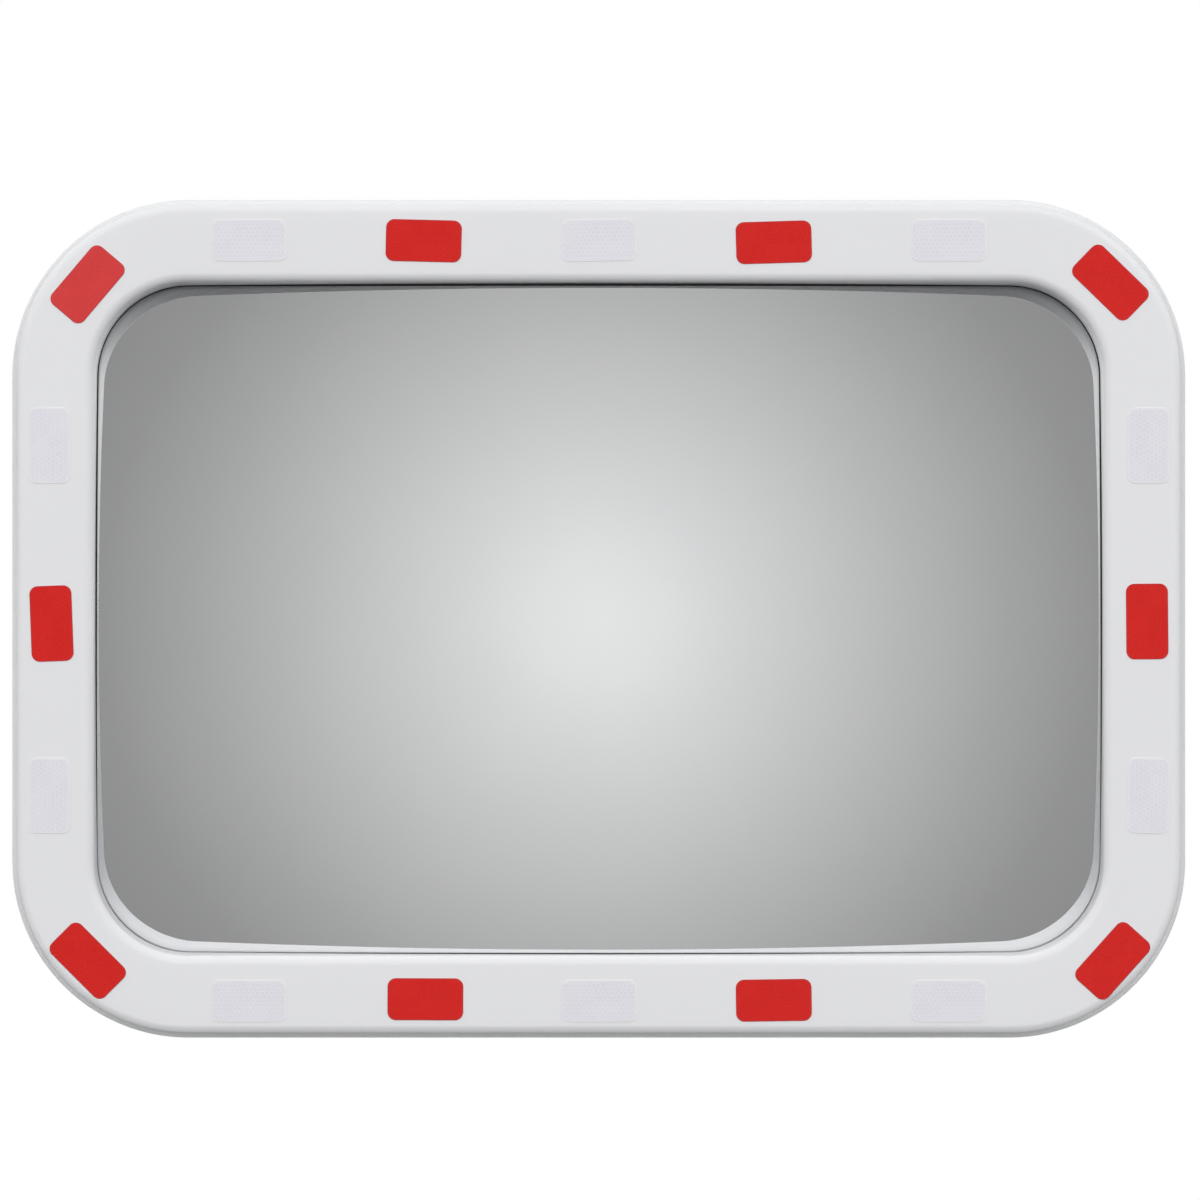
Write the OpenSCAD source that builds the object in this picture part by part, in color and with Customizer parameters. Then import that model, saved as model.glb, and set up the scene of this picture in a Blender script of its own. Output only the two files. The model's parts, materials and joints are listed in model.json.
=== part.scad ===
// Convex security mirror: a domed mirror in a white moulded frame with red and white reflectors,
// held by a two-axis steel bracket on a two-part pole clamp.
// The origin is on the pole's axis, halfway up the clamp. +Z is up, and the mirror faces -Y.

/* [Mirror] */
// Width of the mirror that shows inside the frame
mirror_w = 600; // [560:10:640]
// Height of the mirror that shows inside the frame
mirror_h = 400; // [380:10:440]
// How far the dome rises from the middle of each side to its centre
dome_rise = 18; // [15:1:23]
// Thickness of the mirror sheet
mirror_t = 3; // [2:0.5:3]

/* [Frame] */
// Width of the frame's band, from the shell's rim to the opening
band_w = 50; // [48:1:52]
// Corner radius of the shell's rim
corner_r = 105; // [95:1:115]
// Height of the band's face above the parting plane
face_z = 22; // [21:0.5:24]
// Wall thickness of the moulded frame
frame_t = 2.5; // [2:0.25:2.5]

/* [Reflectors] */
// Length of a reflector
reflector_l = 45; // [35:1:50]
// Width of a reflector
reflector_w = 25; // [20:1:28]
// Distance between neighbouring reflectors
reflector_pitch = 104; // [95:1:105]
// Thickness of a reflector's film
reflector_t = 0.4; // [0.3:0.1:0.6]
// How far the reflectors' layout sits below the frame's middle
reflector_drop = 1; // [0:0.5:1.5]

/* [Rear shell] */
// Depth of the shell's pan behind the parting plane
pan_depth = 33; // [31:1:40]
// Wall thickness of the shell
shell_t = 3; // [2.5:0.5:3]
// Height of the bracket pad behind the pan
pad_rise = 8; // [7:0.5:12]

/* [Bracket] */
// Thickness of the clamp's and the swivel's steel
steel_t = 4; // [3:0.5:4]
// Tilt each way from upright, set by the arc slots
tilt_range = 25; // [15:1:25]
// Distance from the pole's axis to the pan axis
pan_y = 62; // [60:1:70]
// Distance from the pan axis to the tilt axis
tilt_reach = 42; // [40:1:50]

/* [Pole clamp] */
// Diameter of the pole that the closed clamp fits
pole_d = 60.3; // [60:0.1:61]
// Height of the clamp's straps
strap_h = 60; // [56:1:70]
// Distance of the clamp's bolts from the pole's axis
clamp_bolt_x = 48; // [47:1:52]

/* [Hidden] */
$fn = 96;
e = 0.01;

red_count = 10;
white_count = 10;

// Whole body
body_w = mirror_w + 2 * band_w;
body_h = mirror_h + 2 * band_w;
side_x = body_w / 2 - corner_r;
side_y = body_h / 2 - corner_r;

// Frame section, measured inwards from the rim and forwards from the parting plane
rim_lip = 3;
draft = 0.8;
shoulder_r = 5;
lip_r = 6;
skirt_draft = 1.5;
skirt_foot = -8;

// Dome: circles through its centre and the middles of opposite sides
gasket_t = 2;
tape_t = 1.5;
dome_top = face_z - lip_r - gasket_t - 4.5 + dome_rise;
dome_rx = (pow(mirror_w / 2, 2) + pow(dome_rise, 2)) / (2 * dome_rise);
dome_rz = (pow(mirror_h / 2, 2) + pow(dome_rise, 2)) / (2 * dome_rise);
dome_half_angle = 10;
mirror_tuck = 6;

// Shell
flange_w = 27;
rim_r = 1.4;
pan_wall_draft = 5;
pan_bend_r = 9;
rib_u = band_w - 1.5;
upstand_u = 6.2;
upstand_h = 4;
pad_w = 110;
pad_h = 170;
pad_r = 14;
bead_l = 200;
bead_w = 20;
bead_h = 5;
bead_x = 172;
bead_pitch = 56;
drain_r = 3;
drain_x = 120;

// Screws that join the frame and the shell
screw_u = 18;
screw_r = 2.1;
screw_l = 15;
screw_head_r = 4;
screw_head_h = 2.6;
boss_r = 4.2;
screw_top_x = [-180, -60, 60, 180];
screw_side_y = [-60, 60];

// Bracket stations along Y
tilt_y = pan_y + tilt_reach;
head_t = 3;
pad_y = tilt_y + 33;
parting_y = pad_y + pan_depth + pad_rise;

// Head bracket
web_w = 56;
web_h = 140;
web_bolt_x = 14;
web_bolt_z = 52;
ear_top = 36;
ear_foot = -20;
ear_back = 16;
ear_r = 10;
backing_plate_t = 2;
backing_clear = 8;

// Swivel
swivel_half = 24;
swivel_wall_y = pan_y + 16;
nylon_t = 1;
slot_r = 26;

// Hardware
m6_r = 3;
m8_r = 4;
m10_r = 5;
running = 0.1;
clear = 0.4;

function arc(x, y, r, from, to, n = 8) =
    [for (i = [0:n]) let (a = from + (to - from) * i / n) [x + r * cos(a), y + r * sin(a)]];

// ---- Shapes that repeat ----

// The body's outline, moved inwards by inset
module outline(inset) {
    r = corner_r - inset;
    square([2 * (side_x + r), 2 * side_y], center = true);
    square([2 * side_x, 2 * (side_y + r)], center = true);
    for (x = [-side_x, side_x], y = [-side_y, side_y])
        translate([x, y]) circle(r);
}

module slab(inset, from, to) {
    translate([0, 0, from]) linear_extrude(to - from) outline(inset);
}

// Sweeps a section round the body. The section's x runs inwards from the rim and its y to the front.
module swept() {
    for (q = [0:3]) rotate(90 * q) {
        half = q % 2 == 0 ? side_x : side_y;
        reach = q % 2 == 0 ? side_y : side_x;
        translate([0, reach + corner_r, 0])
            rotate([90, 0, -90]) linear_extrude(2 * half, center = true) children();
        translate([-half, reach, 0])
            rotate(90) rotate_extrude(angle = 90)
                translate([corner_r, 0]) mirror([1, 0]) children();
    }
}

// The space between two offsets of the dome's front face, wider than the mirror
module dome_band(front, back) {
    translate([0, 0, dome_top - dome_rx])
        rotate([-90, 0, 0]) rotate(-90 - dome_half_angle)
            rotate_extrude(angle = 2 * dome_half_angle, $fn = 256)
                intersection() {
                    translate([dome_rx - dome_rz, 0]) difference() {
                        circle(dome_rz + front, $fn = 256);
                        circle(dome_rz + back, $fn = 256);
                    }
                    translate([dome_rx - 90, -mirror_h * 0.6]) square([120, mirror_h * 1.2]);
                }
}

// From the head's own frame, with its front along +Z, into the part's frame
module in_head() {
    translate([0, -parting_y, 0]) rotate([90, 0, 0]) children();
}

module along_x(from, to) {
    translate([from, 0, 0]) rotate([90, 0, 90]) linear_extrude(to - from) children();
}

module rounded(size, r) {
    square([size.x, size.y - 2 * r], center = true);
    square([size.x - 2 * r, size.y], center = true);
    for (x = [-1, 1], y = [-1, 1])
        translate([x * (size.x / 2 - r), y * (size.y / 2 - r)]) circle(r);
}

module stadium(length, width) {
    square([length - width, width], center = true);
    for (x = [-1, 1]) translate([x * (length - width) / 2, 0]) circle(width / 2);
}

// A hexagon with its corners turned off at the top, across_flats wide
module hex_body(across_flats, h) {
    corner = across_flats / sqrt(3);
    intersection() {
        cylinder(r = corner, h = h, $fn = 6);
        rotate_extrude() polygon([[0, 0], [corner, 0], [corner, h - corner * 0.12],
                                  [across_flats * 0.48, h], [0, h]]);
    }
}

// A bolt whose shank runs down from z = 0 under its head
module hex_bolt(r, length, across_flats, head_h) {
    hex_body(across_flats, head_h);
    translate([0, 0, -length]) {
        translate([0, 0, r * 0.25]) cylinder(r = r, h = length - r * 0.25 + e);
        cylinder(r1 = r * 0.8, r2 = r, h = r * 0.25);
    }
}

module washer(inner, outer, h) {
    difference() {
        cylinder(r = outer, h = h);
        translate([0, 0, -1]) cylinder(r = inner, h = h + 2);
    }
}

// A nut that stands on z = 0, with a collar for its locking ring if collar_h isn't 0
module hex_nut(r, across_flats, h, collar_h = 0) {
    difference() {
        union() {
            hex_body(across_flats, h);
            if (collar_h > 0)
                translate([0, 0, h - e]) cylinder(r1 = across_flats * 0.46, r2 = across_flats * 0.4, h = collar_h);
        }
        translate([0, 0, -1]) cylinder(r = r + 0.02, h = h + collar_h + 2);
    }
}

// ---- Mirror head ----

module mirror_face() {
    color([0.86, 0.87, 0.88]) in_head() intersection() {
        dome_band(0, -mirror_t);
        slab(band_w - mirror_tuck, -60, 80);
    }
}

module frame_section() {
    skirt = skirt_draft * (face_z - lip_r - skirt_foot) / 24;
    t = frame_t;
    shoulder_x = rim_lip + draft + shoulder_r;
    shoulder_y = face_z - shoulder_r;
    lip_x = band_w - lip_r;
    lip_y = face_z - lip_r;
    polygon(concat(
        [[rim_lip, 0]],
        arc(shoulder_x, shoulder_y, shoulder_r, 180, 90),
        arc(lip_x, lip_y, lip_r, 90, 0),
        [[band_w + skirt, skirt_foot], [band_w + skirt - t, skirt_foot]],
        arc(lip_x, lip_y, lip_r - t, 0, 90),
        arc(shoulder_x, shoulder_y, shoulder_r - t, 90, 180),
        [[rim_lip + t, 0]]));
}

module at_rim_screws() {
    r = corner_r - screw_u;
    for (x = screw_top_x, s = [-1, 1]) translate([x, s * (side_y + r), 0]) children();
    for (y = screw_side_y, s = [-1, 1]) translate([s * (side_x + r), y, 0]) children();
    for (x = [-1, 1], y = [-1, 1])
        translate([x * (side_x + r * cos(45)), y * (side_y + r * sin(45)), 0]) children();
}

module front_frame() {
    color([0.9, 0.9, 0.91]) in_head() difference() {
        union() {
            swept() frame_section();
            at_rim_screws() cylinder(r = boss_r, h = face_z - frame_t + 0.5);
        }
        dome_band(gasket_t, -60);
        at_rim_screws() translate([0, 0, -1]) cylinder(r = screw_r + 0.05, h = screw_l);
    }
}

module mirror_gasket() {
    color([0.13, 0.13, 0.14]) in_head() intersection() {
        dome_band(gasket_t - 0.02, 0.02);
        difference() {
            slab(band_w - 1.6, -30, 40);
            slab(band_w + 0.6, -31, 41);
        }
    }
}

module backing_tape() {
    color([0.2, 0.2, 0.2]) in_head() intersection() {
        dome_band(-mirror_t - 0.02, -mirror_t - tape_t + 0.02);
        difference() {
            slab(rib_u, -60, 40);
            slab(rib_u + shell_t, -61, 41);
        }
    }
}

module shell_section() {
    t = shell_t;
    wall_x = flange_w + pan_wall_draft;
    bend_y = -pan_depth + pan_bend_r;
    bend_x = wall_x + pan_bend_r - t;
    polygon(concat(
        arc(rim_r, -rim_r, rim_r, 180, 90, 4),
        [[upstand_u, 0], [upstand_u, upstand_h], [upstand_u + 2, upstand_h], [upstand_u + 2, 0]],
        [[flange_w, 0]],
        arc(bend_x, bend_y, pan_bend_r - t, 180, 270),
        [[bend_x + 4, -pan_depth + t], [bend_x + 4, -pan_depth]],
        arc(bend_x, bend_y, pan_bend_r, 270, 180),
        [[flange_w - t, -t]],
        arc(rim_r, rim_r - t, rim_r, 270, 180, 4)));
}

// Raised channels on the back of the pan, beside the pad
module at_beads() {
    for (s = [-1, 1], row = [-1:1])
        translate([s * bead_x, row * bead_pitch, -pan_depth]) children();
}

module rear_shell() {
    inner = flange_w + pan_wall_draft + pan_bend_r - shell_t + 2;
    t = shell_t;
    color([0.88, 0.88, 0.89]) in_head() difference() {
        union() {
            swept() shell_section();
            slab(inner, -pan_depth, -pan_depth + t);
            difference() {
                slab(rib_u, -pan_depth + t - 1, face_z);
                slab(rib_u + t, -pan_depth, face_z + 1);
                dome_band(60, -mirror_t - tape_t);
            }
            translate([0, 0, -pan_depth - pad_rise])
                linear_extrude(pad_rise + 1) rounded([pad_w, pad_h], pad_r);
            at_beads() translate([0, 0, -bead_h]) linear_extrude(bead_h + 1) stadium(bead_l, bead_w);
        }
        translate([0, 0, -pan_depth - pad_rise + t])
            linear_extrude(pad_rise + t) rounded([pad_w - 2 * t, pad_h - 2 * t], pad_r - t);
        at_beads() translate([0, 0, t - bead_h])
            linear_extrude(bead_h + t) stadium(bead_l - 2 * t, bead_w - 2 * t);
        at_rim_screws() translate([0, 0, -t - 1]) cylinder(r = screw_r + clear, h = t + 2);
        for (x = [-1, 1], y = [-1, 1])
            translate([x * web_bolt_x, y * web_bolt_z, -pan_depth - pad_rise - 1])
                cylinder(r = m6_r + clear, h = t + 2);
        for (x = [-drain_x, drain_x])
            translate([x, -side_y - corner_r + flange_w + 20, -pan_depth / 2 - 2])
                rotate([90, 0, 0]) cylinder(r = drain_r, h = 30);
    }
}

module backing_plate() {
    plate = [pad_w - 2 * backing_clear, pad_h - 2 * backing_clear];
    color("silver") in_head() translate([0, 0, -pan_depth - pad_rise + shell_t + 1]) difference() {
        linear_extrude(backing_plate_t) rounded(plate, pad_r - backing_clear / 2);
        for (x = [-1, 1], y = [-1, 1])
            translate([x * web_bolt_x, y * web_bolt_z, -1]) cylinder(r = 4.6, h = backing_plate_t + 2);
    }
}

// Flanged bushes that the bracket's bolts screw into, set in the backing plate
module rivet_nuts() {
    base = -pan_depth - pad_rise + shell_t;
    color("goldenrod") in_head() for (x = [-1, 1], y = [-1, 1])
        translate([x * web_bolt_x, y * web_bolt_z, base]) difference() {
            union() {
                cylinder(r = 6.5, h = 1);
                cylinder(r = 4.5, h = 10);
            }
            translate([0, 0, -1]) cylinder(r = m6_r + 0.02, h = 12);
        }
}

module rim_screws() {
    color("silver") in_head() at_rim_screws() translate([0, 0, -shell_t]) {
        translate([0, 0, -e]) cylinder(r = screw_r, h = screw_l);
        difference() {
            translate([0, 0, -screw_head_h]) cylinder(r1 = screw_head_r - 0.8, r2 = screw_head_r, h = screw_head_h);
            for (a = [0, 90]) rotate(a)
                translate([-2, -0.5, -screw_head_h - 1]) cube([4, 1, 2.4]);
        }
    }
}

// A slot on an arc above the tilt axis, in the plane of an ear
module arc_slot(r, half_width, half_angle) {
    end_x = r * sin(half_angle);
    end_y = r * cos(half_angle);
    polygon(concat(
        arc(0, 0, r + half_width, 90 + half_angle, 90 - half_angle, 24),
        arc(end_x, end_y, half_width, 90 - half_angle, -90 - half_angle, 16),
        arc(0, 0, r - half_width, 90 - half_angle, 90 + half_angle, 24),
        arc(-end_x, end_y, half_width, 270 + half_angle, 90 + half_angle, 16)));
}

module tilt_ear(hole_r) {
    height = ear_top - ear_foot;
    length = pad_y - tilt_y + ear_back;
    difference() {
        union() {
            translate([-pad_y, ear_foot]) square([length - ear_r, height]);
            translate([-pad_y, ear_foot + ear_r]) square([length, height - 2 * ear_r]);
            for (z = [ear_foot + ear_r, ear_top - ear_r])
                translate([-pad_y + length - ear_r, z]) circle(ear_r);
        }
        translate([-tilt_y, 0]) circle(hole_r);
        translate([-tilt_y, 0]) arc_slot(slot_r, m6_r + 0.3, tilt_range);
    }
}

module tilt_bracket() {
    inner = swivel_half + nylon_t;
    color("silver") difference() {
        union() {
            translate([0, -pad_y + head_t, 0]) rotate([90, 0, 0])
                linear_extrude(head_t) rounded([web_w, web_h], 6);
            for (x = [-inner - head_t, inner])
                along_x(x, x + head_t) tilt_ear(m8_r + running);
        }
        for (x = [-1, 1], z = [-1, 1])
            translate([x * web_bolt_x, -pad_y - 1, z * web_bolt_z])
                rotate([-90, 0, 0]) cylinder(r = m6_r + clear, h = head_t + 2);
    }
}

module at_web_bolts() {
    for (x = [-1, 1], z = [-1, 1])
        translate([x * web_bolt_x, -pad_y + head_t, z * web_bolt_z]) rotate([-90, 0, 0]) children();
}

module bracket_washers() {
    color("silver") at_web_bolts() washer(m6_r + clear, 6, 1.2);
}

module bracket_bolts() {
    color("silver") at_web_bolts() translate([0, 0, 1.2]) hex_bolt(m6_r, 16, 10, 4);
}

// ---- Reflectors ----

// Places along the band, alternately red and white, as [x, y, turn]
function corner_reflectors() =
    [for (q = [0:3]) let (a = 90 * q + (q % 2 == 0 ? 43.4 : 46.6), r = corner_r - band_w / 2 + 2.8)
        [sign(cos(a)) * side_x + r * cos(a), sign(sin(a)) * side_y + r * sin(a) - reflector_drop, a + 92]];
function row_reflectors(steps, s) =
    [for (k = steps) [k * reflector_pitch, s * ((body_h - band_w) / 2 + 1) - reflector_drop, 0]];
function column_reflectors(steps, s) =
    [for (k = steps) [s * ((body_w - band_w) / 2 + 1.5), k * reflector_pitch - reflector_drop, 90]];
// The film was stuck on by hand: how far each red patch lies off its place (across, up), and how far it is turned
red_by_hand = [[-1.2, -1.1, 0.4], [1.5, -2.2, 1.1], [1.6, -0.2, -0.4], [0.2, -0.3, -0.4], [0, -0.4, -1.4],
               [0, -1.3, 1.7], [1, 1, -0.2], [0, 0.4, 0.8], [-0.7, -0.6, 0.5], [1.4, -1.8, 2.1]];
// The white ones lie straight, but for the turn of two
white_turns = [0, 1, 0, 0, 0, 0, -1.2, 0, 0, 0];
red_rule = concat(corner_reflectors(), row_reflectors([-1, 1], 1), row_reflectors([-1, 1], -1),
                  column_reflectors([0], 1), column_reflectors([0], -1));
white_rule = concat(row_reflectors([-2, 0, 2], 1), row_reflectors([-2, 0, 2], -1),
                    column_reflectors([-1, 1], 1), column_reflectors([-1, 1], -1));
red_places = [for (i = [0:red_count - 1]) red_rule[i] + red_by_hand[i]];
white_places = [for (i = [0:white_count - 1]) white_rule[i] + [0, 0, white_turns[i]]];

module reflector(place) {
    in_head() translate([place.x, place.y, face_z]) rotate(place.z)
        linear_extrude(reflector_t) rounded([reflector_l, reflector_w], 5);
}

// ---- Swivel ----

module swivel_bracket() {
    t = steel_t;
    inner_r = 12;
    color("silver") difference() {
        union() {
            translate([-swivel_half, -swivel_wall_y - t, -swivel_half + t])
                cube([2 * swivel_half, t, 2 * (swivel_half - t)]);
            for (z = [-swivel_half + t, swivel_half - 2 * t]) translate([0, 0, z]) linear_extrude(t) {
                translate([0, -pan_y]) circle(inner_r + 1);
                translate([-inner_r - 1, -swivel_wall_y - 1])
                    square([2 * (inner_r + 1), swivel_wall_y - pan_y + 1]);
            }
            for (x = [-swivel_half, swivel_half - t]) along_x(x, x + t) {
                length = tilt_y - swivel_wall_y;
                translate([-tilt_y, -swivel_half + t]) square([length, 2 * (swivel_half - t)]);
                translate([-tilt_y, 0]) circle(14);
                translate([-tilt_y - 9, 0]) square([18, slot_r]);
                translate([-tilt_y, slot_r]) circle(9);
            }
        }
        translate([0, -pan_y, -swivel_half]) cylinder(r = m10_r + running, h = 2 * swivel_half);
        translate([-swivel_half - 1, -tilt_y, 0])
            rotate([0, 90, 0]) cylinder(r = m8_r + running, h = 2 * swivel_half + 2);
        translate([-swivel_half - 1, -tilt_y, slot_r])
            rotate([0, 90, 0]) cylinder(r = m6_r + running, h = 2 * swivel_half + 2);
    }
}

tilt_stack = swivel_half + nylon_t + head_t;

module tilt_axis(z = 0) {
    translate([0, -tilt_y, z]) rotate([0, 90, 0]) children();
}

module tilt_spacer() {
    inner = swivel_half - steel_t;
    color("silver") tilt_axis() translate([0, 0, -inner]) washer(m8_r + running, 7, 2 * inner);
}

module tilt_friction_washers() {
    color([0.92, 0.92, 0.9]) for (z = [-swivel_half - nylon_t, swivel_half])
        tilt_axis() translate([0, 0, z]) washer(m8_r + running, 11, nylon_t);
}

module tilt_washers() {
    color("silver") for (z = [-tilt_stack - 1.6, tilt_stack])
        tilt_axis() translate([0, 0, z]) washer(m8_r + running, 8, 1.6);
}

module tilt_bolt() {
    color("silver") tilt_axis() translate([0, 0, tilt_stack + 1.6]) hex_bolt(m8_r, 70, 13, 5.3);
}

module tilt_nut() {
    color("silver") tilt_axis() translate([0, 0, -tilt_stack - 1.6]) mirror([0, 0, 1])
        hex_nut(m8_r, 13, 6.5, 1.5);
}

module at_lock_bolts() {
    for (s = [0, 1]) mirror([s, 0, 0]) tilt_axis(slot_r) children();
}

module lock_washers() {
    color("silver") at_lock_bolts() translate([0, 0, tilt_stack]) washer(m6_r + running, 6.5, 1.2);
}

module lock_bolts() {
    color("silver") at_lock_bolts() translate([0, 0, tilt_stack + 1.2]) hex_bolt(m6_r, 18, 10, 4);
}

module lock_nuts() {
    color("silver") at_lock_bolts() translate([0, 0, swivel_half - steel_t]) mirror([0, 0, 1])
        hex_nut(m6_r, 10, 5);
}

module pan_spacer() {
    inner = swivel_half - 2 * steel_t;
    color("silver") translate([0, -pan_y, -inner]) washer(m10_r + running, 8, 2 * inner);
}

module pan_friction_washers() {
    top = swivel_half - steel_t;
    color([0.92, 0.92, 0.9]) for (z = [-top - nylon_t, top])
        translate([0, -pan_y, z]) washer(m10_r + running, 12, nylon_t);
}

// ---- Pole clamp ----

pan_stack = swivel_half - steel_t + nylon_t;
strap_gap = 7;

// Half of the clamp in plan, on the -Y side of the pole
module strap_plan() {
    r = pole_d / 2;
    outer = r + steel_t;
    reach = clamp_bolt_x + 14;
    difference() {
        union() {
            intersection() {
                circle(outer);
                translate([-outer - 1, -outer - 1]) square([2 * outer + 2, outer + 1 - strap_gap]);
            }
            translate([-reach, -strap_gap - steel_t]) square([2 * reach, steel_t]);
        }
        circle(r);
    }
}

module strap_holes() {
    for (x = [-1, 1], z = [-1, 1])
        translate([x * clamp_bolt_x, -strap_gap + 1, z * strap_h * 0.3])
            rotate([90, 0, 0]) cylinder(r = m8_r + clear, h = steel_t + 2);
}

module clamp_saddle() {
    color("silver") difference() {
        union() {
            linear_extrude(strap_h, center = true) strap_plan();
            difference() {
                for (z = [-pan_stack - steel_t, pan_stack]) translate([0, 0, z]) linear_extrude(steel_t) {
                    translate([0, -pan_y]) circle(15);
                    translate([-15, -pan_y]) square([30, pan_y - pole_d / 2]);
                }
                translate([0, 0, -pan_stack - 10]) cylinder(r = pole_d / 2 + 1, h = 2 * pan_stack + 20);
            }
        }
        translate([0, -pan_y, -pan_stack - 10]) cylinder(r = m10_r + running, h = 2 * pan_stack + 20);
        strap_holes();
    }
}

module clamp_jaw() {
    color("silver") mirror([0, 1, 0]) difference() {
        linear_extrude(strap_h, center = true) strap_plan();
        strap_holes();
    }
}

module pan_washers() {
    top = pan_stack + steel_t;
    color("silver") for (z = [-top - 2, top])
        translate([0, -pan_y, z]) washer(m10_r + running, 10, 2);
}

module pan_bolt() {
    color("silver") translate([0, -pan_y, pan_stack + steel_t + 2]) hex_bolt(m10_r, 70, 17, 6.4);
}

module pan_nut() {
    color("silver") translate([0, -pan_y, -pan_stack - steel_t - 2]) mirror([0, 0, 1])
        hex_nut(m10_r, 17, 8, 2);
}

// The clamp's bolts, with z = 0 on the outer face of a strap
module at_clamp_bolts() {
    for (x = [-1, 1], z = [-1, 1])
        translate([x * clamp_bolt_x, -strap_gap - steel_t, z * strap_h * 0.3]) rotate([90, 0, 0]) children();
}

module clamp_head_washers() {
    color("silver") at_clamp_bolts() washer(m8_r + running, 8, 1.6);
}

module clamp_bolts() {
    color("silver") at_clamp_bolts() translate([0, 0, 1.6]) hex_bolt(m8_r, 55, 13, 5.3);
}

module clamp_washers() {
    color("silver") mirror([0, 1, 0]) at_clamp_bolts() washer(m8_r + running, 8, 1.6);
}

module clamp_nuts() {
    color("silver") mirror([0, 1, 0]) at_clamp_bolts() translate([0, 0, 1.6]) hex_nut(m8_r + 0.08, 13, 6.5);
}

// ---- Nodes ----

mirror_face();
front_frame();
rear_shell();
mirror_gasket();
backing_tape();
backing_plate();
rivet_nuts();
rim_screws();
tilt_bracket();
bracket_bolts();
bracket_washers();
for (i = [1:red_count])
    color([0.8, 0.2, 0.18]) reflector(red_places[i - 1]);
for (i = [1:white_count])
    color([0.86, 0.86, 0.9]) reflector(white_places[i - 1]);
swivel_bracket();
tilt_bolt();
tilt_nut();
tilt_washers();
tilt_friction_washers();
tilt_spacer();
lock_bolts();
lock_washers();
lock_nuts();
pan_spacer();
pan_friction_washers();
clamp_saddle();
pan_bolt();
pan_nut();
pan_washers();
clamp_bolts();
clamp_head_washers();
clamp_jaw();
clamp_nuts();
clamp_washers();
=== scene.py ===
import json
import math

import bmesh
import bpy
from mathutils import Matrix, Vector

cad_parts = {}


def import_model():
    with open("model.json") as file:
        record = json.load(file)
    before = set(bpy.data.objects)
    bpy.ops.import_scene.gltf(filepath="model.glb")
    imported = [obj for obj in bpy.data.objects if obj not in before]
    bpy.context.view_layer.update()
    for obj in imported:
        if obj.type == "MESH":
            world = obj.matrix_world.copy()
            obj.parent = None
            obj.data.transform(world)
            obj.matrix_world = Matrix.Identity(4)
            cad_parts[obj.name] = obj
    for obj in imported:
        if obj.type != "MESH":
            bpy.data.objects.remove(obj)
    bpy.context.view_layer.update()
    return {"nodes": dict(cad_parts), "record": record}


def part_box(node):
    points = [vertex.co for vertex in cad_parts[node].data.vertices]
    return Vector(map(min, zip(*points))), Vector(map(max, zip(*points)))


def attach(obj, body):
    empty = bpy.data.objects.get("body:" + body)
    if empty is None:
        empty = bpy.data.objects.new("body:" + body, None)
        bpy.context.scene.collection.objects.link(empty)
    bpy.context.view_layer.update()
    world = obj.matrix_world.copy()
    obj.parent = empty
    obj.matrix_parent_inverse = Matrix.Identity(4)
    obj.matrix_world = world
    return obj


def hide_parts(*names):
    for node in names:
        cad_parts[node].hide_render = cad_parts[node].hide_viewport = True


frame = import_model()
nodes = frame["nodes"]
MM = 0.001

# ---------------------------------------------------------------- sizes, in mm, in the head's own frame
shell_low, shell_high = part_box("rear_shell")
face_low, face_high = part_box("front_frame")
BODY_W = (shell_high.x - shell_low.x) / MM
BODY_H = (shell_high.z - shell_low.z) / MM
FACE_Z = 22.0                          # the frame's face, above the parting plane
PARTING_Y = face_low.y / MM + FACE_Z   # world y of the parting plane, negative
CORNER_R = 105.0                       # the body's outer corners
SX, SY = BODY_W / 2 - CORNER_R, BODY_H / 2 - CORNER_R
BAND = 50.0                            # from the outline to the mirror's opening
RISE = 18.0                            # of the dome, over each half of the opening
MIRROR_T = 3.0
GASKET_T = 2.0
LIP_R = 6.0                            # the frame's round edge at the mirror
SHOULDER_R = 5.0                       # the frame's outer round edge
SEAT = 4.6                             # the mirror's edge below the lip: 4.5, and 0.1 to stay in the CAD's box
PAN = 33.0                             # depth of the rear shell
PAD_Z = -(shell_high.y / MM - PARTING_Y)
DOME_TOP = FACE_Z - LIP_R - GASKET_T - SEAT + RISE
HALF_W, HALF_H = 300.0, 200.0          # of the mirror's opening
DOME_RX = (HALF_W ** 2 + RISE ** 2) / (2 * RISE)
DOME_RY = (HALF_H ** 2 + RISE ** 2) / (2 * RISE)


def world(x, y, z):
    """A point of the head's own frame, in mm, in the row frame in metres."""
    return Vector((x * MM, (PARTING_Y - z) * MM, y * MM))


def dome(x, y, off=0.0):
    """Height of the dome, or of a surface off mm outside it."""
    rho = DOME_RX - DOME_RY + math.sqrt((DOME_RY + off) ** 2 - y * y)
    return DOME_TOP - DOME_RX + math.sqrt(rho * rho - x * x)


def arc(x, y, r, a, b, n=8):
    """Points of an arc from angle a to angle b, in degrees."""
    return [(x + r * math.cos(math.radians(a + (b - a) * i / n)),
             y + r * math.sin(math.radians(a + (b - a) * i / n))) for i in range(n + 1)]


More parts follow.
